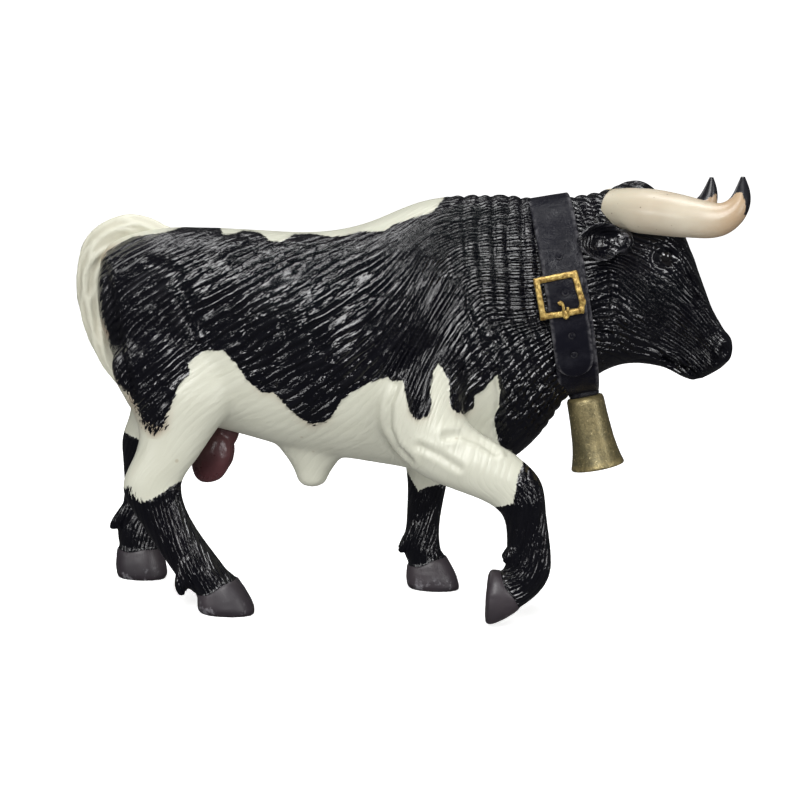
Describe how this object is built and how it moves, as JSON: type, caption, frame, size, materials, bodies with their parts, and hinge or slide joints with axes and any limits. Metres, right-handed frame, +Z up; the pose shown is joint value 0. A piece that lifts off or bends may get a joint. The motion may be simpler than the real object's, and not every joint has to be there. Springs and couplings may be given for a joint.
{
  "type": "walking ox figurine with a collar and bell",
  "caption": "Moulded and painted ox figurine, walking with one front leg lifted, in a leather-look collar with a buckle and a bell.",
  "frame": {"origin": "on the ground under the middle of the figure's box", "axes": "+X the way the animal faces, +Y its left side, +Z up"},
  "size_m": [0.1462, 0.0476, 0.099],
  "materials": {
    "hide": "black and cream paint, gloss",
    "horn": "ivory paint, satin, black tips",
    "white_hair": "white paint, satin",
    "dark_skin": "dark red paint, gloss",
    "strap": "black paint, leather grain, gloss",
    "gold": "gold paint with dark specks",
    "bronze": "dull bronze paint, speckled"
  },
  "bodies": {
    "root": {"trunk": "hide", "head": "hide", "left_ear": "hide", "right_ear": "hide", "left_horn": "horn", "right_horn": "horn", "front_left_leg": "hide", "front_right_leg": "hide", "hind_left_leg": "hide", "hind_right_leg": "hide", "tail": "white_hair", "scrotum": "dark_skin", "collar_strap": "strap", "buckle_frame": "gold", "buckle_prong": "gold", "bell_loop": "strap", "bell": "bronze"}
  },
  "joints": []
}
